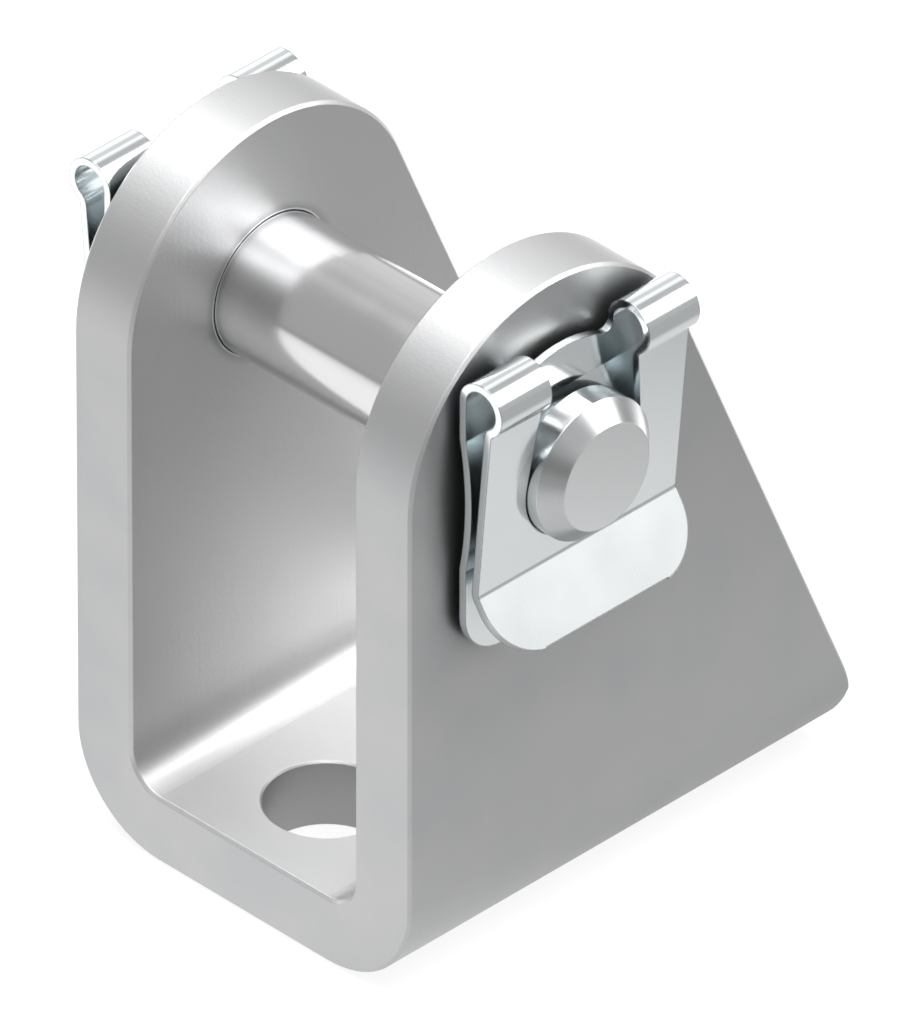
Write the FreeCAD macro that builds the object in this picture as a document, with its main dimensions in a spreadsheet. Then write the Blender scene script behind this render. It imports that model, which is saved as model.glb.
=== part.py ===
import FreeCAD, Part
import math
import os
import re

import Sketcher

Vector = FreeCAD.Vector

# A clevis foot for a small round cylinder: a folded bracket, a clevis pin and two folded retaining clips.
# X runs along the pin, Y from the open front to the sloping back, Z up from the surface the foot is screwed to.
# The origin is the middle of the foot's underside.

SIZES = {
    # Bracket, folded from one strip of sheet
    "sheet_thickness": (4.0, "thickness of the bracket's sheet"),
    "ear_gap": (16.1, "clear width between the two ears"),
    "foot_length": (32.0, "front to back length of the foot"),
    "inner_bend_radius": (2.0, "radius inside each fold"),
    "pin_height": (30.0, "pin axis above the mounting surface"),
    "ear_radius": (10.0, "radius of the ear's rounded top, about the pin axis"),
    "heel_height": (4.0, "height at which an ear's slope meets the back of the foot"),
    "heel_radius": (0.5, "rounding where the slope meets the back"),
    "edge_break": (0.17, "chamfer that breaks the edges of the bracket's sheet"),
    "hole_break": (0.12, "chamfer round each end of a screw hole"),
    "foot_hole_radius": (3.3, "radius of each screw hole"),
    "foot_hole_spacing": (20.0, "distance between the screw holes"),
    "bore_clearance": (0.05, "radial play of the pin in the ears"),
    # Clevis pin, turned
    "pin_radius": (4.0, "radius of the pin"),
    "groove_offset": (0.25, "from an ear's outer face to the near wall of the groove"),
    "groove_width": (1.3, "width of each groove"),
    "groove_radius": (3.2, "radius at the bottom of each groove"),
    "land_length": (1.4, "full-width stretch outside each groove"),
    "end_chamfer": (1.0, "chamfer at each end of the pin"),
    # Retaining clip, folded from spring strip
    "clip_thickness": (0.45, "thickness of the clip's strip"),
    "clip_width": (14.0, "width of the clip"),
    "clip_stand_off": (0.5, "from the ear to the flat of the rear leaf"),
    "left_clip_shift": (0.12, "how much nearer the ear the left clip sits in its groove"),
    "rear_leaf_drop": (9.42, "lower edge of the rear leaf below the pin axis"),
    "leaf_corner_radius": (2.6, "corner radius of the rear leaf"),
    "bow_rise": (0.39, "outward bow of the rear leaf across the groove"),
    "bow_high": (4.1, "upper crease of the bow above the pin axis"),
    "bow_low": (3.85, "lower crease of the bow below the pin axis"),
    "slot_clearance": (0.1, "play of the rear leaf's slot around the groove"),
    "slot_mouth_radius": (0.8, "lead-in rounding of the slot's mouth"),
    "collar_radius": (6.55, "radius of the rear leaf's upper edge, about the pin axis"),
    "collar_fillet": (0.55, "rounding between that edge and the loops"),
    "loop_radius": (1.5, "outer radius of the spring loops"),
    "loop_height": (6.5, "centre of the loops above the pin axis"),
    "loop_gap": (6.9, "gap between the two loops"),
    "knee_radius": (0.3, "reverse bend between a loop and the front leaf"),
    "front_leaf_lean": (5.0, "lean of the front leaf towards the ear, in degrees"),
    "fold_reach": (1.84, "from the ear to the front leaf at the tab's fold"),
    "fold_drop": (4.9, "tab's fold below the pin axis"),
    "fold_radius": (0.3, "radius inside the tab's fold"),
    "opening_clearance": (0.05, "play of the front leaf's opening around the pin"),
    "opening_mouth": (5.1, "height at which the opening is as narrow as the loop gap"),
    "tab_length": (3.95, "length of the finger tab"),
    "tab_flare": (34.0, "tilt of the finger tab away from the ear, in degrees"),
    "tab_corner_radius": (3.2, "corner radius of the finger tab"),
    "tab_step_width": (8.7, "width of the sheared step in the tab's edge"),
    "tab_step_depth": (0.12, "depth of the sheared step in the tab's edge"),
}

# Lengths that follow from the sizes above
EAR_FACE = "(ear_gap / 2 + sheet_thickness)"
PIN_SET_BACK = "(ear_radius - foot_length / 2)"
OUTER_BEND = "(inner_bend_radius + sheet_thickness)"
GROOVE_NEAR = f"({EAR_FACE} + groove_offset)"
GROOVE_FAR = f"({GROOVE_NEAR} + groove_width)"
PIN_HALF = f"({GROOVE_FAR} + land_length + end_chamfer)"
BOW_CHORD = "(bow_high + bow_low)"
BOW_RADIUS = f"({BOW_CHORD} ^ 2 / (8 * bow_rise) + bow_rise / 2)"
OPENING_RADIUS = "(pin_radius + opening_clearance)"
SLOT_HALF = "(groove_radius + slot_clearance)"
# A plane between the two leaves, half way from the bow's crest to the front leaf at the foot of its opening
BOW_CREST = "(clip_stand_off + clip_thickness + bow_rise)"
LEAF_BACK = f"(fold_reach - clip_thickness + (fold_drop - {OPENING_RADIUS}) * tan(front_leaf_lean))"
BETWEEN_LEAVES = f"(({BOW_CREST} + {LEAF_BACK}) / 2)"
# The outer edge of the tab's end
TAB_REACH = "(fold_reach + fold_radius * (cos(front_leaf_lean) - cos(tab_flare)) + tab_length * sin(tab_flare))"
TAB_DROP = "(fold_drop + fold_radius * (sin(front_leaf_lean) + sin(tab_flare)) + tab_length * cos(tab_flare))"

OVERRUN = 5.0  # how far the outline of a cut runs past the solid
SHARP_ANGLE = 20.0  # degrees between two faces whose shared edge counts as sharp
START, END, CENTRE = range(1, 4)  # a sketch line's or arc's own points
AXIS_ORIGIN = (-1, START)  # where a sketch's two axes cross

doc = FreeCAD.newDocument("clevis_foot")
sheet = doc.addObject("Spreadsheet::Sheet", "sizes")


def fill_sheet():
    """One row for each size: its name, its value under an alias of that name, and what it is."""
    for row, (name, (value, meaning)) in enumerate(SIZES.items(), start=1):
        sheet.set(f"A{row}", name)
        sheet.set(f"B{row}", str(value))
        sheet.set(f"C{row}", meaning)
        sheet.setAlias(f"B{row}", name)
    doc.recompute()


def bound(formula):
    """The formula with every size's name pointing at its cell."""
    return re.sub(r"[a-z_]+", lambda word: f"sizes.{word[0]}" if word[0] in SIZES else word[0], formula)


def size(formula):
    """The formula's present value, in millimetres or degrees."""
    return float(sheet.evalExpression(bound(formula)))


def tie(thing, name, formula):
    """Bind one property of an object to the sheet."""
    thing.setExpression(name, bound(formula))


def new_body(name):
    body = doc.addObject("PartDesign::Body", name)
    body.Label = name
    return body


def origin_plane(body, role):
    return next(item for item in body.Origin.OriginFeatures if item.Role == role)


def new_sketch(body, role, name, offset=None):
    """A sketch on one of the body's own planes, or parallel to it at an offset."""
    sketch = body.newObject("Sketcher::SketchObject", name)
    sketch.AttachmentSupport = [(origin_plane(body, role), "")]
    sketch.MapMode = "FlatFace"
    if offset is not None:
        tie(sketch, "AttachmentOffset.Base.z", offset)
    return sketch


class Outline:
    """A run of lines and arcs in a sketch, each joined to the end of the one before.

    A coordinate given as text is a formula, and is bound to the sheet. One given as a number is only
    where the point is first drawn, and the constraints settle it.
    """

    def __init__(self, sketch, x, y):
        self.sketch = sketch
        self.first = (x, y)
        self.point = (self.number(x), self.number(y))
        self.ends = []

    @staticmethod
    def number(coordinate):
        return size(coordinate) if isinstance(coordinate, str) else coordinate

    def constrain(self, *terms):
        return self.sketch.addConstraint(Sketcher.Constraint(*terms))

    def dimension(self, kind, *where, formula):
        value = size(formula)
        index = self.constrain(kind, *where, math.radians(value) if kind == "Angle" else value)
        unit = " * 1 deg" if kind == "Angle" else ""
        tie(self.sketch, f"Constraints[{index}]", f"({formula}){unit}")

    def place(self, piece, end, x, y):
        """Bind those coordinates of a point that are formulas."""
        if isinstance(x, str):
            self.dimension("DistanceX", *AXIS_ORIGIN, piece, end, formula=x)
        if isinstance(y, str):
            self.dimension("DistanceY", *AXIS_ORIGIN, piece, end, formula=y)

    def join(self, piece, start, end, x, y, smooth):
        if self.ends:
            before, before_end = self.ends[-1][0], self.ends[-1][2]
            self.constrain("Tangent" if smooth else "Coincident", before, before_end, piece, start)
        else:
            self.place(piece, start, *self.first)
        self.place(piece, end, x, y)
        self.ends.append((piece, start, end))
        self.point = (self.number(x), self.number(y))
        return piece

    def line(self, x, y, smooth=False):
        finish = Vector(self.number(x), self.number(y), 0)
        piece = self.sketch.addGeometry(Part.LineSegment(Vector(*self.point, 0), finish), False)
        return self.join(piece, START, END, x, y, smooth)

    def arc(self, x, y, centre, clockwise=False, radius=None, smooth=False):
        middle = Vector(self.number(centre[0]), self.number(centre[1]), 0)
        begin = Vector(*self.point, 0) - middle
        finish = Vector(self.number(x), self.number(y), 0) - middle
        angles = [math.atan2(begin.y, begin.x), math.atan2(finish.y, finish.x)]
        if clockwise:
            angles.reverse()
        if angles[1] < angles[0]:
            angles[1] += 2 * math.pi
        circle = Part.Circle(middle, Vector(0, 0, 1), begin.Length)
        piece = self.sketch.addGeometry(Part.ArcOfCircle(circle, *angles), False)
        ends = (END, START) if clockwise else (START, END)
        self.join(piece, *ends, x, y, smooth)
        self.place(piece, CENTRE, *centre)
        if radius is not None:
            self.dimension("Radius", piece, formula=radius)
        return piece

    def close(self):
        """Draw back to the first point, or join up if the run is already there."""
        first, first_start = self.ends[0][0], self.ends[0][1]
        start = (self.number(self.first[0]), self.number(self.first[1]))
        if math.dist(start, self.point) > Part.Precision.confusion():
            self.line(*start)
        last, last_end = self.ends[-1][0], self.ends[-1][2]
        self.constrain("Coincident", last, last_end, first, first_start)


def add_circle(sketch, x, y, radius):
    """A bound circle."""
    middle = Vector(size(x), size(y), 0)
    piece = sketch.addGeometry(Part.Circle(middle, Vector(0, 0, 1), size(radius)), False)
    for kind, where, formula in (
        ("DistanceX", (*AXIS_ORIGIN, piece, CENTRE), x),
        ("DistanceY", (*AXIS_ORIGIN, piece, CENTRE), y),
        ("Radius", (piece,), radius),
    ):
        index = sketch.addConstraint(Sketcher.Constraint(kind, *where, size(formula)))
        tie(sketch, f"Constraints[{index}]", formula)


def pad(body, sketch, name, length):
    """Solid on both sides of the sketch, of the given length over all."""
    feature = body.newObject("PartDesign::Pad", name)
    feature.Profile = sketch
    feature.SideType = "Symmetric"
    tie(feature, "Length", length)
    doc.recompute()
    return feature


def cut(body, sketch, name, side="Symmetric", reverse=False, depth=None):
    """Cut through everything or to a depth, both ways or to one side of the sketch, and see that metal went."""
    before = body.Shape.Volume
    feature = body.newObject("PartDesign::Pocket", name)
    feature.Profile = sketch
    if depth is None:
        feature.Type = "ThroughAll"
    else:
        tie(feature, "Length", depth)
    feature.SideType = side
    feature.Reversed = reverse
    doc.recompute()
    if not body.Shape.Volume < before:
        raise RuntimeError(f"{name} cut nothing")
    return feature


def dress(body, kind, name, edges, size_name, formula):
    """Round or chamfer named edges of the body as it stands."""
    feature = body.newObject(kind, name)
    feature.Base = (feature.BaseFeature, edges)
    tie(feature, size_name, formula)
    doc.recompute()
    return feature


def edge_names(shape, test):
    return [f"Edge{number}" for number, edge in enumerate(shape.Edges, start=1) if test(edge)]


def edges_at(shape, points):
    """The names of the edges whose middles are at the given points."""
    names = []
    for point in points:
        distances = [edge.CenterOfMass.distanceToPoint(point) for edge in shape.Edges]
        names.append(f"Edge{distances.index(min(distances)) + 1}")
    return names


def is_sharp(shape, edge):
    """True where the two faces along an edge meet at a corner instead of flowing on."""
    faces = shape.ancestorsOfType(edge, Part.Face)
    if len(faces) != 2:
        return False
    middle = edge.valueAt((edge.FirstParameter + edge.LastParameter) / 2)
    normals = [face.normalAt(*face.Surface.parameter(middle)) for face in faces]
    return math.degrees(normals[0].getAngle(normals[1])) > SHARP_ANGLE


def make_bracket():
    """A strip folded into a U, its ears then cut to their outline, bored and drilled, and its edges broken."""
    body = new_body("bracket")
    half_gap = "(ear_gap / 2)"
    blank_top = f"(pin_height + ear_radius + {OVERRUN})"
    inner_foot = f"({half_gap} - inner_bend_radius)"
    outer_foot = f"({EAR_FACE} - {OUTER_BEND})"
    inner_rise = "(sheet_thickness + inner_bend_radius)"

    section = new_sketch(body, "XZ_Plane", "fold_section")
    fold = Outline(section, f"-{EAR_FACE}", blank_top)
    fold.line(f"-{EAR_FACE}", OUTER_BEND)
    fold.arc(f"-{outer_foot}", "0", (-size(outer_foot), size(OUTER_BEND)), radius=OUTER_BEND)
    fold.line(outer_foot, "0")
    fold.arc(EAR_FACE, OUTER_BEND, (size(outer_foot), size(OUTER_BEND)), radius=OUTER_BEND)
    fold.line(EAR_FACE, blank_top)
    fold.line(half_gap, blank_top)
    fold.line(half_gap, inner_rise)
    fold.arc(inner_foot, "sheet_thickness", (size(inner_foot), size(inner_rise)), True, "inner_bend_radius")
    fold.line(f"-{inner_foot}", "sheet_thickness")
    fold.arc(f"-{half_gap}", inner_rise, (-size(inner_foot), size(inner_rise)), True, "inner_bend_radius")
    fold.line(f"-{half_gap}", blank_top)
    fold.close()
    pad(body, section, "folded_strip", f"foot_length + 2 * {OVERRUN}")

    # Seen from the side the bracket is straight in front, round about the pin axis on top, and slopes down to a
    # rounded heel at the back. What lies between that outline and a box around it is cut away.
    half_foot = "(foot_length / 2)"
    heel = Vector(size(half_foot), size("heel_height"), 0)
    axis = Vector(size(PIN_SET_BACK), size("pin_height"), 0)
    to_axis = axis - heel
    slope = math.atan2(to_axis.y, to_axis.x) - math.asin(size("ear_radius") / to_axis.Length)
    uphill = Vector(math.cos(slope), math.sin(slope), 0)
    downhill_side = Vector(math.sin(slope), -math.cos(slope), 0)
    ear_end = axis + downhill_side * size("ear_radius")
    heel_tangent = size("heel_radius") * math.tan((slope - math.pi / 2) / 2)
    heel_start = heel + uphill * heel_tangent
    heel_end = heel.y - heel_tangent

    waste = new_sketch(body, "YZ_Plane", "side_outline")
    side = Outline(waste, f"-{half_foot}", f"-{OVERRUN}")
    side.line(f"-{half_foot}", "pin_height")
    side.arc(ear_end.x, ear_end.y, (PIN_SET_BACK, "pin_height"), clockwise=True)
    edge = side.line(heel_start.x, heel_start.y, smooth=True)
    side.arc(half_foot, heel_end, (heel.x - size("heel_radius"), heel_end), True, "heel_radius", smooth=True)
    side.line(half_foot, f"-{OVERRUN}", smooth=True)
    side.close()
    corner = waste.addGeometry(Part.Point(heel), True)
    side.place(corner, START, half_foot, "heel_height")
    side.constrain("PointOnObject", corner, START, edge)
    around = f"({half_foot} + 2 * {OVERRUN})"
    box = Outline(waste, f"-{around}", f"-2 * {OVERRUN}")
    box.line(around, f"-2 * {OVERRUN}")
    box.line(around, f"{blank_top} + {OVERRUN}")
    box.line(f"-{around}", f"{blank_top} + {OVERRUN}")
    box.close()
    cut(body, waste, "trimmed_sides")

    bores = new_sketch(body, "YZ_Plane", "ear_bores")
    add_circle(bores, PIN_SET_BACK, "pin_height", "pin_radius + bore_clearance")
    cut(body, bores, "pin_bores")

    holes = new_sketch(body, "XY_Plane", "screw_holes")
    for side in (-1, 1):
        add_circle(holes, "0", f"{side} * foot_hole_spacing / 2", "foot_hole_radius")
    cut(body, holes, "foot_holes")

    # The bores are reamed last, so their rims alone stay sharp
    shape = body.Shape
    outline = edge_names(shape, lambda edge: not edge.isClosed() and is_sharp(shape, edge))
    dress(body, "PartDesign::Chamfer", "broken_edges", outline, "Size", "edge_break")
    hole_rims = edge_names(body.Shape, lambda edge: edge.isClosed() and edge.BoundBox.ZLength < edge.BoundBox.XLength)
    dress(body, "PartDesign::Chamfer", "deburred_holes", hole_rims, "Size", "hole_break")
    return body


def make_pin():
    """A turned pin with a chamfer, a land and a clip groove at each end."""
    body = new_body("pin")
    blank = new_sketch(body, "XZ_Plane", "pin_blank")
    bar = Outline(blank, f"-{PIN_HALF}", "0")
    bar.line(f"-{PIN_HALF}", "pin_radius")
    bar.line(PIN_HALF, "pin_radius")
    bar.line(PIN_HALF, "0")
    bar.close()
    turned = body.newObject("PartDesign::Revolution", "turned_bar")
    turned.Profile = blank
    turned.ReferenceAxis = (blank, ["H_Axis"])
    turned.Angle = 360
    doc.recompute()

    radius = size("pin_radius")
    half = size(PIN_HALF)
    rims = edge_names(
        body.Shape,
        lambda edge: isinstance(edge.Curve, Part.Circle) and abs(abs(edge.CenterOfMass.x) - half) < radius / 100,
    )
    dress(body, "PartDesign::Chamfer", "end_chamfers", rims, "Size", "end_chamfer")

    before = body.Shape.Volume
    channel = new_sketch(body, "XZ_Plane", "groove_section")
    ring = Outline(channel, GROOVE_NEAR, "groove_radius")
    ring.line(GROOVE_FAR, "groove_radius")
    ring.line(GROOVE_FAR, f"pin_radius + {OVERRUN}")
    ring.line(GROOVE_NEAR, f"pin_radius + {OVERRUN}")
    ring.close()
    groove = body.newObject("PartDesign::Groove", "clip_groove")
    groove.Profile = channel
    groove.ReferenceAxis = (channel, ["H_Axis"])
    groove.Angle = 360
    doc.recompute()
    mirrored = body.newObject("PartDesign::Mirrored", "far_groove")
    mirrored.Originals = [groove]
    mirrored.MirrorPlane = (origin_plane(body, "YZ_Plane"), [""])
    body.Tip = mirrored
    doc.recompute()
    if not body.Shape.Volume < before:
        raise RuntimeError("the grooves cut nothing")
    tie(body, "Placement.Base.y", PIN_SET_BACK)
    tie(body, "Placement.Base.z", "pin_height")
    return body


def draw_clip_section(sketch):
    """The strip's folded path seen from its side: up the rear leaf, over the loop, down the front leaf to the tab.

    The pin axis is at the height 0, and the ear's outer face at 0 across.
    """
    rear = "clip_stand_off"
    front = "(clip_stand_off + clip_thickness)"
    thickness = size("clip_thickness")
    loop = size("loop_radius")
    knee = size("knee_radius")
    bend = size("fold_radius")
    lean = math.radians(size("front_leaf_lean"))
    flare = math.radians(size("tab_flare"))
    loop_centre = Vector(size(rear) + loop, size("loop_height"), 0)
    bow_middle = (size("bow_high") - size("bow_low")) / 2
    bow_back = size("bow_rise") - size(BOW_RADIUS)

    # Where the leaf, the knee and the loop touch each other
    fold = Vector(size("fold_reach"), -size("fold_drop"), 0)
    leaf_up = Vector(math.sin(lean), math.cos(lean), 0)
    leaf_out = Vector(math.cos(lean), -math.sin(lean), 0)
    offset = fold + leaf_out * knee - loop_centre
    along = offset.dot(leaf_up)
    height = -along - math.sqrt(along ** 2 - offset.dot(offset) + (loop + knee) ** 2)
    knee_centre = fold + leaf_out * knee + leaf_up * height
    to_knee = (knee_centre - loop_centre).normalize()
    leaf_top = fold + leaf_up * height
    fold_centre = fold + leaf_out * bend
    tab_out = Vector(math.cos(flare), math.sin(flare), 0)
    tab_start = fold_centre - tab_out * bend
    tab_end = Vector(size(TAB_REACH), -size(TAB_DROP), 0)

    def xy(point):
        return point.x, point.y

    strip = Outline(sketch, rear, "-rear_leaf_drop")
    strip.line(rear, "-bow_low")
    strip.arc(rear, "bow_high", (size(rear) + bow_back, bow_middle), radius=BOW_RADIUS)
    strip.line(rear, "loop_height")
    outer_loop = strip.arc(*xy(loop_centre + to_knee * loop), xy(loop_centre), True, "loop_radius", smooth=True)
    outer_knee = strip.arc(*xy(leaf_top), xy(knee_centre), False, "knee_radius", smooth=True)
    outer_leaf = strip.line("fold_reach", "-fold_drop", smooth=True)
    strip.dimension("Angle", outer_leaf, formula="-90 - front_leaf_lean")
    outer_fold = strip.arc(*xy(tab_start), xy(fold_centre), False, "fold_radius", smooth=True)
    outer_tab = strip.line(*xy(tab_end), smooth=True)
    strip.dimension("Angle", outer_tab, formula="tab_flare - 90")
    strip.dimension("Distance", outer_tab, formula="tab_length")
    lip = strip.line(*xy(tab_end - tab_out * thickness))
    strip.constrain("Perpendicular", outer_tab, lip)
    strip.dimension("Distance", lip, formula="clip_thickness")
    inner_tab = strip.line(*xy(tab_start - tab_out * thickness))
    strip.constrain("Parallel", outer_tab, inner_tab)
    inner_fold = strip.arc(*xy(fold - leaf_out * thickness), xy(fold_centre), True, smooth=True)
    strip.constrain("Coincident", outer_fold, CENTRE, inner_fold, CENTRE)
    inner_leaf = strip.line(*xy(leaf_top - leaf_out * thickness), smooth=True)
    strip.constrain("Parallel", outer_leaf, inner_leaf)
    inner_knee_end = loop_centre + to_knee * (loop - thickness)
    inner_knee = strip.arc(*xy(inner_knee_end), xy(knee_centre), True, smooth=True)
    strip.constrain("Coincident", outer_knee, CENTRE, inner_knee, CENTRE)
    inner_loop = strip.arc(size(front), size("loop_height"), xy(loop_centre), False, smooth=True)
    strip.constrain("Coincident", outer_loop, CENTRE, inner_loop, CENTRE)
    strip.line(front, "bow_high", smooth=True)
    strip.arc(front, "-bow_low", (size(front) + bow_back, bow_middle), True, BOW_RADIUS)
    strip.line(front, "-rear_leaf_drop")
    strip.close()


def make_clip(name):
    """One folded clip, drawn about the pin axis with the ear's outer face at X = 0."""
    body = new_body(name)
    section = new_sketch(body, "XZ_Plane", "clip_section")
    draw_clip_section(section)
    pad(body, section, "folded_spring_strip", "clip_width")

    half_gap = "(loop_gap / 2)"
    top = f"(loop_height + loop_radius + {OVERRUN})"

    # Between the loops everything above the rear leaf's collar is cut away
    fillet = size("collar_fillet")
    collar = size("collar_radius")
    fillet_y = size(half_gap) - fillet
    fillet_z = math.sqrt((collar + fillet) ** 2 - fillet_y ** 2)
    touch = collar / (collar + fillet)
    gap_sketch = new_sketch(body, "YZ_Plane", "collar_outline")
    gap = Outline(gap_sketch, half_gap, top)
    gap.line(half_gap, fillet_z)
    gap.arc(fillet_y * touch, fillet_z * touch, (fillet_y, fillet_z), True, "collar_fillet", smooth=True)
    gap.arc(-fillet_y * touch, fillet_z * touch, ("0", "0"), False, "collar_radius", smooth=True)
    gap.arc(f"-{half_gap}", fillet_z, (-fillet_y, fillet_z), True, "collar_fillet", smooth=True)
    gap.line(f"-{half_gap}", top, smooth=True)
    gap.close()
    cut(body, gap_sketch, "loop_gap")

    # The front leaf's opening fits the pin below and narrows to the loop gap above
    radius = size(OPENING_RADIUS)
    mouth = Vector(size(half_gap), size("opening_mouth"), 0)
    turn = math.atan2(mouth.y, mouth.x) - math.acos(radius / mouth.Length)
    side_y, side_z = radius * math.cos(turn), radius * math.sin(turn)
    opening_sketch = new_sketch(body, "YZ_Plane", "opening_outline", BETWEEN_LEAVES)
    opening = Outline(opening_sketch, half_gap, top)
    opening.line(half_gap, "opening_mouth")
    opening.line(side_y, side_z)
    opening.arc(-side_y, side_z, ("0", "0"), True, OPENING_RADIUS, smooth=True)
    opening.line(f"-{half_gap}", "opening_mouth", smooth=True)
    opening.line(f"-{half_gap}", top)
    opening.close()
    cut(body, opening_sketch, "pin_opening", "One side", reverse=True)

    # The rear leaf's slot is open below, so that the clip can be pushed down over the groove
    slot_foot = f"-rear_leaf_drop - {OVERRUN}"
    slot_sketch = new_sketch(body, "YZ_Plane", "slot_outline", BETWEEN_LEAVES)
    slot = Outline(slot_sketch, SLOT_HALF, "0")
    slot.line(SLOT_HALF, slot_foot)
    slot.line(f"-{SLOT_HALF}", slot_foot)
    slot.line(f"-{SLOT_HALF}", "0")
    slot.arc(size(SLOT_HALF), 0.0, (0.0, "0"), clockwise=True)
    slot.close()
    cut(body, slot_sketch, "groove_slot", "One side")

    half_width = size("clip_width / 2")
    leaf_x = size("clip_stand_off + clip_thickness / 2")
    leaf_z = -size("rear_leaf_drop")
    lip_x = size(f"{TAB_REACH} - cos(tab_flare) * clip_thickness / 2")
    lip_z = -size(f"{TAB_DROP} + sin(tab_flare) * clip_thickness / 2")
    both = (-1, 1)
    for label, points, corner in (
        ("tab_corners", [Vector(lip_x, side * half_width, lip_z) for side in both], "tab_corner_radius"),
        ("leaf_corners", [Vector(leaf_x, side * half_width, leaf_z) for side in both], "leaf_corner_radius"),
        ("slot_mouth", [Vector(leaf_x, side * size(SLOT_HALF), leaf_z) for side in both], "slot_mouth_radius"),
    ):
        dress(body, "PartDesign::Fillet", label, edges_at(body.Shape, points), "Radius", corner)

    # Where the strip was sheared off, the middle of the tab's edge stands back a little.
    # The sketch lies in the tab's outer face, with its origin at the middle of that edge and its Y axis up the tab.
    step_sketch = new_sketch(body, "YZ_Plane", "step_outline", TAB_REACH)
    step_sketch.AttachmentOffset = FreeCAD.Placement(Vector(), FreeCAD.Rotation(Vector(-1, 0, 0), size("tab_flare")))
    tie(step_sketch, "AttachmentOffset.Base.y", f"-{TAB_DROP}")
    tie(step_sketch, "AttachmentOffset.Rotation.Angle", "tab_flare")
    step = Outline(step_sketch, "tab_step_width / 2", "tab_step_depth")
    step.line("-tab_step_width / 2", "tab_step_depth")
    step.line("-tab_step_width / 2", f"-{OVERRUN}")
    step.line("tab_step_width / 2", f"-{OVERRUN}")
    step.close()
    cut(body, step_sketch, "sheared_step", "One side", depth="2 * clip_thickness")
    return body


fill_sheet()
bracket = make_bracket()
pin = make_pin()
clips = []
for name, seat, turn in (("clip_right", EAR_FACE, 0), ("clip_left", f"left_clip_shift - {EAR_FACE}", 180)):
    clip = make_clip(name)
    clip.Placement = FreeCAD.Placement(Vector(), FreeCAD.Rotation(Vector(0, 0, 1), turn))
    tie(clip, "Placement.Base.x", seat)
    tie(clip, "Placement.Base.y", PIN_SET_BACK)
    tie(clip, "Placement.Base.z", "pin_height")
    clips.append(clip)
doc.recompute()

for item in doc.Objects:
    if "Invalid" in item.State or "Error" in item.State:
        raise RuntimeError(f"{item.Label} failed: {item.State}")
os.makedirs("parts", exist_ok=True)
for body in (bracket, pin, *clips):
    if body.Shape.isNull() or not body.Shape.isValid() or len(body.Shape.Solids) != 1:
        raise RuntimeError(f"{body.Label} is not one valid solid")
    body.Shape.exportStep(f"parts/{body.Label}.step")
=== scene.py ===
import math
import bpy
from mathutils import Matrix, Vector


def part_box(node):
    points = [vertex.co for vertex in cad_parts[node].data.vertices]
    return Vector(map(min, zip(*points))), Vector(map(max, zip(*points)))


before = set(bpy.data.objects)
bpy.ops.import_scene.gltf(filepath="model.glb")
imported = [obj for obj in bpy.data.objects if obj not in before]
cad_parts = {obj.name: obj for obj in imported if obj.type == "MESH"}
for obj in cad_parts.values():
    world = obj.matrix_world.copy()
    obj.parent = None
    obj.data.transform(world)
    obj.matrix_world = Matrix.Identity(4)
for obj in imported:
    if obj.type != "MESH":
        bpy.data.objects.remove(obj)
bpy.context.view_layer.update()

# Lengths in millimetres are written times this
MM = 0.001

# Camera: the photograph's viewing angle, found from the edges of the foot
CAMERA_AZIMUTH = 45.2
CAMERA_ELEVATION = 35.154
CAMERA_ROLL = 0.085
CAMERA_DISTANCE = 1800.8 * MM
CAMERA_TARGET = Vector((0, 0, 18 * MM))
CAMERA_ASIDE = -0.377 * MM
CAMERA_UP = -0.919 * MM
CAMERA_LENS = 1249.24
CAMERA_SENSOR = 36
CAMERA_NEAREST = 0.05
CAMERA_FARTHEST = 100

WHITE = "#FFFFFF"

# How many rays an edge or a crevice is felt with at each point
FEELER_RAYS = 4

# Sockets of a Mix node by number, as several share a name: the share, two numbers, two colours, and the
# colour that it gives
MIX_SHARE = 0
MIX_FIRST = 2
MIX_SECOND = 3
MIX_FIRST_COLOUR = 6
MIX_SECOND_COLOUR = 7
MIX_COLOUR = 2


def linear(hex_colour):
    """Turn an sRGB hex value into the linear colour that a node takes."""
    parts = [int(hex_colour[k:k + 2], 16) / 255 for k in (1, 3, 5)]
    return tuple(c / 12.92 if c <= 0.04045 else ((c + 0.055) / 1.055) ** 2.4 for c in parts) + (1.0,)


def add_node(tree, kind, inputs=(), output=0, **settings):
    """Add a node with its settings and links, and give one of its outputs.

    The inputs are values, or outputs of other nodes: in the order of the sockets, or by name or number.
    """
    node = tree.nodes.new("ShaderNode" + kind)
    for name, value in settings.items():
        setattr(node, name, value)
    for socket, value in inputs.items() if isinstance(inputs, dict) else enumerate(inputs):
        if isinstance(value, bpy.types.NodeSocket):
            tree.links.new(value, node.inputs[socket])
        else:
            node.inputs[socket].default_value = value
    return node.outputs[output] if node.outputs else None


def new_material(name):
    """Start a material whose nodes are still to come."""
    material = bpy.data.materials.new(name)
    material.use_nodes = True
    material.node_tree.nodes.clear()
    return material, material.node_tree


def direction(azimuth, elevation):
    """Point from the foot: azimuth 0 is in front, 90 to the right, and both angles are in degrees."""
    turn, rise = math.radians(azimuth), math.radians(elevation)
    return Vector((math.sin(turn) * math.cos(rise), -math.cos(turn) * math.cos(rise), math.sin(rise)))


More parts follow.
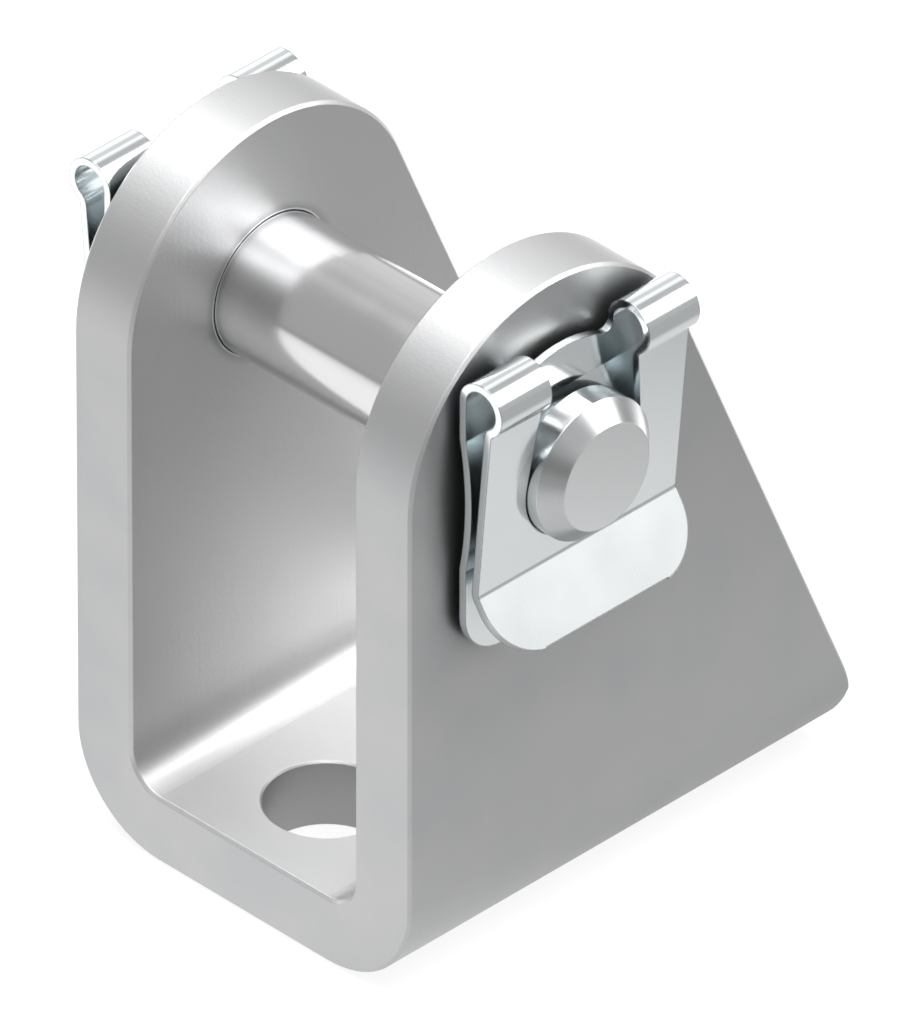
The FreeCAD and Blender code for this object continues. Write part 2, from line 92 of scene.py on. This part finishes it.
def add_camera():
    """Stand the camera where the photograph was taken from."""
    back = direction(CAMERA_AZIMUTH, CAMERA_ELEVATION)
    level = direction(CAMERA_AZIMUTH + 90, 0)
    upright = back.cross(level)
    roll = math.radians(CAMERA_ROLL)
    right = level * math.cos(roll) + upright * math.sin(roll)
    up = upright * math.cos(roll) - level * math.sin(roll)
    camera = bpy.data.objects.new("camera", bpy.data.cameras.new("camera"))
    bpy.context.scene.collection.objects.link(camera)
    place = Matrix((right, up, back)).transposed().to_4x4()
    place.translation = CAMERA_TARGET + back * CAMERA_DISTANCE + right * CAMERA_ASIDE + up * CAMERA_UP
    camera.matrix_world = place
    camera.data.lens = CAMERA_LENS
    camera.data.sensor_width = CAMERA_SENSOR
    camera.data.clip_start = CAMERA_NEAREST
    camera.data.clip_end = CAMERA_FARTHEST
    bpy.context.scene.camera = camera


# Studio: a white paper floor inside a soft tent with soft boxes
FLOOR_HALF_SIDE = 6.0
FLOOR_GAP = 0.02 * MM
FLOOR_PAPER = "#F2F2F2"
# How much of the foot's shadow the camera sees on the paper
SHADOW_SHARE = 0.12

# How bright the metal sees the paper, which the camera sees white: a painted glow of light, not lamp light,
# with a first tone, then its changes. Each has the heading from the foot (0 in front, 90 to the right), the
# distances in millimetres between which the tone changes, and the change. The tone never falls under the
# darkest.
PAPER_TONE = 1.25
PAPER_CHANGES = {
    "behind to the right": (135, -12, 12, -0.5),
    "far behind to the right": (135, 36, 60, -0.29),
    "behind to the left": (225, 24, 50, 1.25),
    "far behind to the left": (225, 72, 110, -0.6),
    "farthest behind to the left": (225, 130, 210, -0.4),
    "far to the left": (270, 150, 260, -0.7),
    "in front to the right": (30, 36, 150, -0.45),
}
PAPER_DARKEST = 0.42
# The paper is in shade inside the screw holes: where they are, their size, how many times their radius the
# shade reaches, and the share of light that is left
HOLE_FROM_MIDDLE = 10 * MM
HOLE_RADIUS = 3.3 * MM
HOLE_SHADE_REACH = 1.4
HOLE_SHADE = 0.5

# The tent's strength, the same all round
TENT_STRENGTH = 0.5

# Soft boxes: azimuth and elevation, half the width and the soft edge, all in degrees, then the strength. The
# dark card takes light away, so its strength is negative.
SOFT_BOXES = {
    "overhead": (-60, 86, 24.8, 3.2, 7.8),
    "back right": (143, 36, 13, 11, 6.0),
    "high right": (126, 63, 13.3, 2.6, 9.3),
    "front right": (55, 50, 7.6, 5.5, 10.0),
    "back": (196, 38, 7, 5, 2.0),
    "high back left": (209, 48, 6, 4, 0.5),
    "back left": (225, 30, 20, 14, 0.25),
    "low back left": (236, 14, 13, 8, 0.5),
    "lowest back left": (222, 2, 9, 6, 0.3),
    "left": (280, 20, 14, 6, 2.2),
    "dark card in front to the right": (52, 5, 12, 8, -0.22),
}


def add_floor():
    """Lay the paper floor, white to the camera and keeping the foot's soft shadow."""
    mesh = bpy.data.meshes.new("paper_floor")
    side, drop = FLOOR_HALF_SIDE, -FLOOR_GAP
    corners = [(-side, -side, drop), (side, -side, drop), (side, side, drop), (-side, side, drop)]
    mesh.from_pydata(corners, [], [(0, 1, 2, 3)])
    floor = bpy.data.objects.new("paper_floor", mesh)
    bpy.context.scene.collection.objects.link(floor)

    paper, tree = new_material("matt_white_paper")
    place = add_node(tree, "NewGeometry", output="Position")
    tone = PAPER_TONE
    for heading, start, end, change in PAPER_CHANGES.values():
        along = add_node(tree, "VectorMath", (place, direction(heading, 0)), "Value", operation="DOT_PRODUCT")
        more = add_node(
            tree, "MapRange", (along, start * MM, end * MM, 0.0, change), interpolation_type="SMOOTHSTEP"
        )
        tone = add_node(tree, "Math", (tone, more), operation="ADD")
    tone = add_node(tree, "Math", (tone, PAPER_DARKEST), operation="MAXIMUM")
    both_halves = add_node(tree, "VectorMath", (place,), operation="ABSOLUTE")
    hole = (0, HOLE_FROM_MIDDLE, 0)
    from_hole = add_node(tree, "VectorMath", (both_halves, hole), "Value", operation="DISTANCE")
    shade_end = HOLE_SHADE_REACH * HOLE_RADIUS
    shade = add_node(tree, "MapRange", (from_hole, HOLE_RADIUS, shade_end, HOLE_SHADE, 1.0))
    tone = add_node(tree, "Math", (tone, shade), operation="MULTIPLY")

    # The paper glows with painted light where glossy and transmission rays see it
    painted_paper_glow = add_node(tree, "Emission", (linear(WHITE), tone))
    lit = add_node(tree, "BsdfDiffuse", (linear(FLOOR_PAPER),))
    glossy = add_node(tree, "LightPath", output="Is Glossy Ray")
    through = add_node(tree, "LightPath", output="Is Transmission Ray")
    bounced = add_node(tree, "Math", (glossy, through), operation="MAXIMUM")
    unseen = add_node(tree, "MixShader", (bounced, lit, painted_paper_glow))
    white = add_node(tree, "Emission", (linear(WHITE), 1.0))
    seen = add_node(tree, "MixShader", (SHADOW_SHARE, white, lit))
    to_camera = add_node(tree, "LightPath", output="Is Camera Ray")
    whole = add_node(tree, "MixShader", (to_camera, unseen, seen))
    add_node(tree, "OutputMaterial", (whole,))
    mesh.materials.append(paper)


def add_studio_light():
    """Hang the soft tent and its soft boxes round the foot, white to the camera."""
    world = bpy.data.worlds.new("studio")
    bpy.context.scene.world = world
    world.use_nodes = True
    tree = world.node_tree
    tree.nodes.clear()
    towards = add_node(tree, "TexCoord", output="Generated")
    total = TENT_STRENGTH
    for azimuth, elevation, half_width, soft_edge, strength in SOFT_BOXES.values():
        middle = direction(azimuth, elevation)
        facing = add_node(tree, "VectorMath", (towards, middle), "Value", operation="DOT_PRODUCT")
        outside, inside = (math.cos(math.radians(half_width + edge)) for edge in (soft_edge, -soft_edge))
        glow = add_node(
            tree, "MapRange", (facing, outside, inside, 0.0, strength), interpolation_type="SMOOTHSTEP"
        )
        total = add_node(tree, "Math", (total, glow), operation="ADD")
    light = add_node(tree, "Background", (linear(WHITE), total))
    white = add_node(tree, "Background", (linear(WHITE), 1.0))
    to_camera = add_node(tree, "LightPath", output="Is Camera Ray")
    both = add_node(tree, "MixShader", (to_camera, light, white))
    add_node(tree, "OutputWorld", (both,))


# From the middle of the foot to an ear's outer face, and the pin's axis and radius, all in millimetres
OUTER_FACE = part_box("bracket")[1][0] / MM
PIN_AXIS = [sum(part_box("pin")[corner][k] for corner in (0, 1)) / 2 / MM for k in range(3)]
PIN_RADIUS = (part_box("pin")[1][2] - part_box("pin")[0][2]) / 2 / MM

# Rolling lines are drawn out 40 times along the strip, which runs across and up
LINE_STRETCH = (40, 1, 40)
# Smudges take the middle of a noise's range, where most of its values are
SMUDGE_SPAN = (0.3, 0.7)


def in_millimetres(tree, stretch=(1, 1, 1)):
    """Give the place on the piece in millimetres, drawn out along each axis by a factor."""
    place = add_node(tree, "TexCoord", output="Object")
    scale = [1 / (MM * factor) for factor in stretch]
    return add_node(tree, "VectorMath", (place, scale), operation="MULTIPLY")


def from_pin_axis(tree, place, along):
    """Give the distance from the pin's axis in millimetres."""
    axis_there = add_node(tree, "CombineXYZ", (along, PIN_AXIS[1], PIN_AXIS[2]))
    return add_node(tree, "VectorMath", (place, axis_there), "Value", operation="DISTANCE")


def rolling_lines(tree, apart):
    """Draw the lines that rolling leaves along a strip, so many millimetres apart."""
    strip = in_millimetres(tree, LINE_STRETCH)
    return add_node(tree, "TexNoise", {"Vector": strip, "Scale": 1 / apart, "Detail": 1.0})


def smudged(tree, place, across, roughness, spread):
    """Vary a roughness with smudges so many millimetres across."""
    smudges = add_node(tree, "TexNoise", {"Vector": place, "Scale": 1 / across, "Detail": 2.0})
    change = add_node(tree, "MapRange", (smudges, *SMUDGE_SPAN, -spread, spread))
    return add_node(tree, "Math", (roughness, change), operation="ADD")


def layered(tree, tone, layers):
    """Lay tones over a first one, from the lowest to the top, each as strongly as its share says."""
    colour = linear(tone)
    for share, over in layers:
        colour = add_node(tree, "Mix", {
            MIX_SHARE: share, MIX_FIRST_COLOUR: colour, MIX_SECOND_COLOUR: linear(over),
        }, MIX_COLOUR, data_type="RGBA")
    return colour


def worn_edges(tree, rounding, full_lean):
    """Round the edges to a radius in millimetres.

    This gives the rounded normal, and a share that is 0 on a face and 1 where the normal leans from the face
    by the angle whose cosine is the full lean.
    """
    rounded = add_node(tree, "Bevel", {"Radius": rounding * MM}, samples=FEELER_RAYS)
    flat = add_node(tree, "NewGeometry", output="True Normal")
    lean = add_node(tree, "VectorMath", (rounded, flat), "Value", operation="DOT_PRODUCT")
    return rounded, add_node(tree, "MapRange", (lean, 1.0, full_lean, 0.0, 1.0))


def beside_others(tree, reach, openness):
    """Give 0 in the open and 1 where another piece stands against this one, felt within some millimetres.

    The openness holds the shares of open view at which this is 0 and 1.
    """
    open_to_all, open_to_own = (
        add_node(
            tree, "AmbientOcclusion", {"Distance": reach * MM}, "AO", samples=FEELER_RAYS, only_local=own
        )
        for own in (False, True)
    )
    ratio = add_node(tree, "Math", (open_to_all, open_to_own), operation="DIVIDE")
    return add_node(tree, "MapRange", (ratio, *openness, 0.0, 1.0))


def finish_metal(tree, colour, roughness, relief, depth, rounded):
    """Close a material with its relief, so many millimetres deep, a metal's shader and its output."""
    normal = add_node(tree, "Bump", {
        "Strength": 1.0, "Distance": depth * MM, "Height": relief, "Normal": rounded,
    })
    metal = add_node(tree, "BsdfPrincipled", {
        "Base Color": colour, "Metallic": 1.0, "Roughness": roughness, "Normal": normal,
    })
    add_node(tree, "OutputMaterial", (metal,))


# Zinc-plated steel sheet: blanked, folded, plated and barrel finished. The barrel leaves an even satin with
# faint rolling lines under it, and rubs the edges to a soft bright line.
ZINC_TONE = "#BCBCBC"
ZINC_CLOUD_TONE = "#B8B9BA"
ZINC_PAINTED_LIGHT_TONE = "#C1C1C1"
ZINC_EDGE_TONE = "#C2C2C1"
# Painted shade, laid where a clip sits on an ear and round the pin in the bores
ZINC_PAINTED_SHADE_TONE = "#3E4041"
ZINC_ROUGHNESS = 0.46
ZINC_ROUGHNESS_SPREAD = 0.02
# Clouds and grain together lie round 1, and the middle of their range makes the roughness uneven
ZINC_UNEVEN_SPAN = (0.7, 1.3)
ZINC_EDGE_ROUGHNESS = 0.54
ZINC_EDGE_ROUNDING = 0.09
ZINC_EDGE_LEAN = 0.9
# Plating clouds are about 5 mm across, and take the middle of a noise's range
ZINC_CLOUD = 5.0
ZINC_CLOUD_SPAN = (0.35, 0.65)
# Barrel grit is about 0.05 mm, drawn at 0.14 mm, because finer grain is lost between the picture's points
ZINC_GRAIN = 0.14
ZINC_GRAIN_DEPTH = 0.006
# Rolling lines are about 0.1 mm apart, drawn at 0.3 mm to show, and run along the strip
ZINC_LINES = 0.3
ZINC_LINE_SHARE = 0.5
# Painted light brightens the faces that the ears shelter from each other, within 25 mm
ZINC_PAINTED_LIGHT_REACH = 25
ZINC_PAINTED_LIGHT_OPENNESS = (0.95, 0.55)
# Painted shade, standing for the clips' contact shadow, lies within 2.2 mm of a clip, on the ears' outer
# faces alone. It fades out at the first depth under the face, and is full at the second.
ZINC_CLIP_SHADE_REACH = 2.2
ZINC_CLIP_SHADE_OPENNESS = (0.95, 0.3)
ZINC_CLIP_SHADE_SKIN = (0.3, 0.1)
ZINC_CLIP_SHADE_SHARE = 0.85
# A painted highlight about 0.1 mm wide rings each bore, and painted shade spreads out from it where the pin
# meets the ear: both are given as reaches from the pin's surface
ZINC_RIM_HIGHLIGHT_TONE = "#DEDEDE"
ZINC_RIM_HIGHLIGHT = 0.15
ZINC_RIM_HIGHLIGHT_FULL = 0.8 * ZINC_RIM_HIGHLIGHT
ZINC_BORE_SHADE_REACH = 0.6
ZINC_BORE_SHADE_SHARE = 0.38


def satin_zinc_plated_steel():
    """Make the bracket's finish."""
    material, tree = new_material("satin_zinc_plated_steel")
    place = in_millimetres(tree)
    clouds = add_node(tree, "TexNoise", {"Vector": place, "Scale": 1 / ZINC_CLOUD, "Detail": 2.0})
    grain = add_node(tree, "TexNoise", {"Vector": place, "Scale": 1 / ZINC_GRAIN, "Detail": 1.0})
    rounded, worn = worn_edges(tree, ZINC_EDGE_ROUNDING, ZINC_EDGE_LEAN)
    cloudy = add_node(tree, "MapRange", (clouds, *ZINC_CLOUD_SPAN, 0.0, 1.0))

    # Painted light: the faces between the ears, which shelter each other, are painted brighter
    openness = add_node(
        tree, "AmbientOcclusion", {"Distance": ZINC_PAINTED_LIGHT_REACH * MM}, "AO",
        samples=FEELER_RAYS, only_local=True,
    )
    inside = add_node(tree, "MapRange", (openness, *ZINC_PAINTED_LIGHT_OPENNESS, 0.0, 1.0))

    # Painted shade darkens the ears' outer faces where a clip sits against them
    along = add_node(tree, "SeparateXYZ", (place,))
    across = add_node(tree, "Math", (along,), operation="ABSOLUTE")
    skin = [OUTER_FACE - depth for depth in ZINC_CLIP_SHADE_SKIN]
    outer = add_node(tree, "MapRange", (across, *skin, 0.0, ZINC_CLIP_SHADE_SHARE))
    beside_clip = beside_others(tree, ZINC_CLIP_SHADE_REACH, ZINC_CLIP_SHADE_OPENNESS)
    painted_shade = add_node(tree, "Math", (beside_clip, outer), operation="MULTIPLY")

    # Round the bores, a painted highlight on the rim lies over painted shade that spreads out from the pin
    radius = from_pin_axis(tree, place, along)
    bore_shade_end = PIN_RADIUS + ZINC_BORE_SHADE_REACH
    bore_shade = add_node(tree, "MapRange", (radius, bore_shade_end, PIN_RADIUS, 0.0, ZINC_BORE_SHADE_SHARE))
    rim_highlight_edge = (PIN_RADIUS + ZINC_RIM_HIGHLIGHT, PIN_RADIUS + ZINC_RIM_HIGHLIGHT_FULL)
    rim_highlight = add_node(tree, "MapRange", (radius, *rim_highlight_edge, 0.0, 1.0))
    colour = layered(tree, ZINC_TONE, (
        (cloudy, ZINC_CLOUD_TONE), (inside, ZINC_PAINTED_LIGHT_TONE), (worn, ZINC_EDGE_TONE),
        (painted_shade, ZINC_PAINTED_SHADE_TONE), (bore_shade, ZINC_PAINTED_SHADE_TONE), (rim_highlight, ZINC_RIM_HIGHLIGHT_TONE),
    ))

    uneven = add_node(tree, "Math", (clouds, grain), operation="ADD")
    spread = (ZINC_ROUGHNESS - ZINC_ROUGHNESS_SPREAD, ZINC_ROUGHNESS + ZINC_ROUGHNESS_SPREAD)
    roughness = add_node(tree, "MapRange", (uneven, *ZINC_UNEVEN_SPAN, *spread))
    roughness = add_node(tree, "Mix", {
        MIX_SHARE: worn, MIX_FIRST: roughness, MIX_SECOND: ZINC_EDGE_ROUGHNESS,
    }, data_type="FLOAT")
    lines = rolling_lines(tree, ZINC_LINES)
    relief = add_node(tree, "Math", (lines, ZINC_LINE_SHARE, grain), operation="MULTIPLY_ADD")
    finish_metal(tree, colour, roughness, relief, ZINC_GRAIN_DEPTH, rounded)
    return material


# Carbon steel bar: turned, ground on its body and faced at its ends. The ground body draws its reflections
# out softly, the faced discs are brightest, and the collars and chamfers keep the greyer turned skin.
PIN_TONE = "#D8D8D9"
PIN_COLLAR_TONE = "#C7C8C9"
PIN_FACED_TONE = "#F4F5F6"
PIN_PAINTED_SHADE_TONE = "#8A8C8D"
PIN_BODY_ROUGHNESS = 0.15
PIN_COLLAR_ROUGHNESS = 0.22
PIN_ROUGHNESS_SPREAD = 0.015
PIN_EDGE_ROUNDING = 0.06
# The collars start at the ears' outer faces, and the faced discs reach to 3 mm from the axis
PIN_COLLAR_BLEND = 0.2
PIN_FACED_RADIUS = 3.0
PIN_FACED_BLEND = 0.05
# Turning marks are about 0.08 mm apart, drawn at 0.2 mm to show, and run round the pin
PIN_MARKS = 0.2
PIN_MARK_DEPTH = 0.0008
# Smudges of handling are about 3 mm across
PIN_SMUDGE = 3.0
# Painted shade lies within 1.5 mm of an ear or a clip
PIN_SHADE_REACH = 1.5
PIN_SHADE_OPENNESS = (0.9, 0.3)
PIN_SHADE_SHARE = 0.8


def fine_turned_steel():
    """Make the pin's finish."""
    material, tree = new_material("fine_turned_steel")
    place = in_millimetres(tree)
    along = add_node(tree, "SeparateXYZ", (place,))
    radius = from_pin_axis(tree, place, along)
    from_middle = add_node(tree, "Math", (along,), operation="ABSOLUTE")
    collar_edge = (OUTER_FACE - PIN_COLLAR_BLEND, OUTER_FACE + PIN_COLLAR_BLEND)
    collar = add_node(tree, "MapRange", (from_middle, *collar_edge, 0.0, 1.0))
    faced_edge = (PIN_FACED_RADIUS + PIN_FACED_BLEND, PIN_FACED_RADIUS - PIN_FACED_BLEND)
    faced = add_node(tree, "MapRange", (radius, *faced_edge, 0.0, 1.0))

    # Painted shade darkens the steel in the groove and at the bores
    near = beside_others(tree, PIN_SHADE_REACH, PIN_SHADE_OPENNESS)
    painted_shade = add_node(tree, "Math", (near, PIN_SHADE_SHARE), operation="MULTIPLY")
    colour = layered(tree, PIN_TONE, (
        (collar, PIN_COLLAR_TONE), (faced, PIN_FACED_TONE), (painted_shade, PIN_PAINTED_SHADE_TONE),
    ))

    roughness = add_node(tree, "Mix", {
        MIX_SHARE: collar, MIX_FIRST: PIN_BODY_ROUGHNESS, MIX_SECOND: PIN_COLLAR_ROUGHNESS,
    }, data_type="FLOAT")
    roughness = smudged(tree, place, PIN_SMUDGE, roughness, PIN_ROUGHNESS_SPREAD)
    turned = add_node(tree, "CombineXYZ", (along, radius))
    marks = add_node(tree, "TexNoise", {"Vector": turned, "Scale": 1 / PIN_MARKS, "Detail": 1.0})
    rounded = add_node(tree, "Bevel", {"Radius": PIN_EDGE_ROUNDING * MM}, samples=FEELER_RAYS)
    finish_metal(tree, colour, roughness, marks, PIN_MARK_DEPTH, rounded)
    return material


# Spring steel strip: cold rolled bright, folded and tempered. It mirrors its surroundings with a slight blur
# along the rolling lines. Painted shade darkens the inside of its folds, which are also rougher, and shearing
# leaves a dark line along its edges.
CLIP_TONE = "#EDF1F2"
CLIP_FOLD_SHADE_TONE = "#D2D8DA"
CLIP_EDGE_TONE = "#7E8486"
CLIP_ROUGHNESS = 0.12
CLIP_FILM_ROUGHNESS = 0.2
CLIP_ROUGHNESS_SPREAD = 0.015
CLIP_EDGE_ROUNDING = 0.1
CLIP_EDGE_LEAN = 0.96
# Rolling lines are about 0.05 mm apart, drawn at 0.15 mm to show, and run along the strip
CLIP_LINES = 0.15
CLIP_LINE_DEPTH = 0.0006
# Smudges of handling are about 2.5 mm across; painted shade and a rougher film lie in folds narrower than 2.5
# mm
CLIP_SMUDGE = 2.5
CLIP_FOLD_REACH = 2.5
CLIP_FOLD_OPENNESS = (0.75, 0.15)


def bright_rolled_spring_steel():
    """Make the clips' finish."""
    material, tree = new_material("bright_rolled_spring_steel")
    rounded, sheared = worn_edges(tree, CLIP_EDGE_ROUNDING, CLIP_EDGE_LEAN)
    openness = add_node(
        tree, "AmbientOcclusion", {"Distance": CLIP_FOLD_REACH * MM}, "AO", samples=FEELER_RAYS
    )
    # Painted shade darkens the insides of the folds, and the same mask makes them rougher
    fold_shade_and_film = add_node(tree, "MapRange", (openness, *CLIP_FOLD_OPENNESS, 0.0, 1.0))
    colour = layered(tree, CLIP_TONE, ((fold_shade_and_film, CLIP_FOLD_SHADE_TONE), (sheared, CLIP_EDGE_TONE)))
    roughness = add_node(tree, "Mix", {
        MIX_SHARE: fold_shade_and_film, MIX_FIRST: CLIP_ROUGHNESS, MIX_SECOND: CLIP_FILM_ROUGHNESS,
    }, data_type="FLOAT")
    roughness = smudged(tree, in_millimetres(tree), CLIP_SMUDGE, roughness, CLIP_ROUGHNESS_SPREAD)
    finish_metal(tree, colour, roughness, rolling_lines(tree, CLIP_LINES), CLIP_LINE_DEPTH, rounded)
    return material


def dress(node_names, material):
    """Give CAD nodes their finish in place of the plain one that they were packed with."""
    for name in node_names:
        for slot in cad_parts[name].material_slots:
            slot.material = material


add_camera()
add_floor()
add_studio_light()
dress(["bracket"], satin_zinc_plated_steel())
dress(["pin"], fine_turned_steel())
dress(["clip_right", "clip_left"], bright_rolled_spring_steel())

bpy.context.scene.view_settings.view_transform = "Standard"
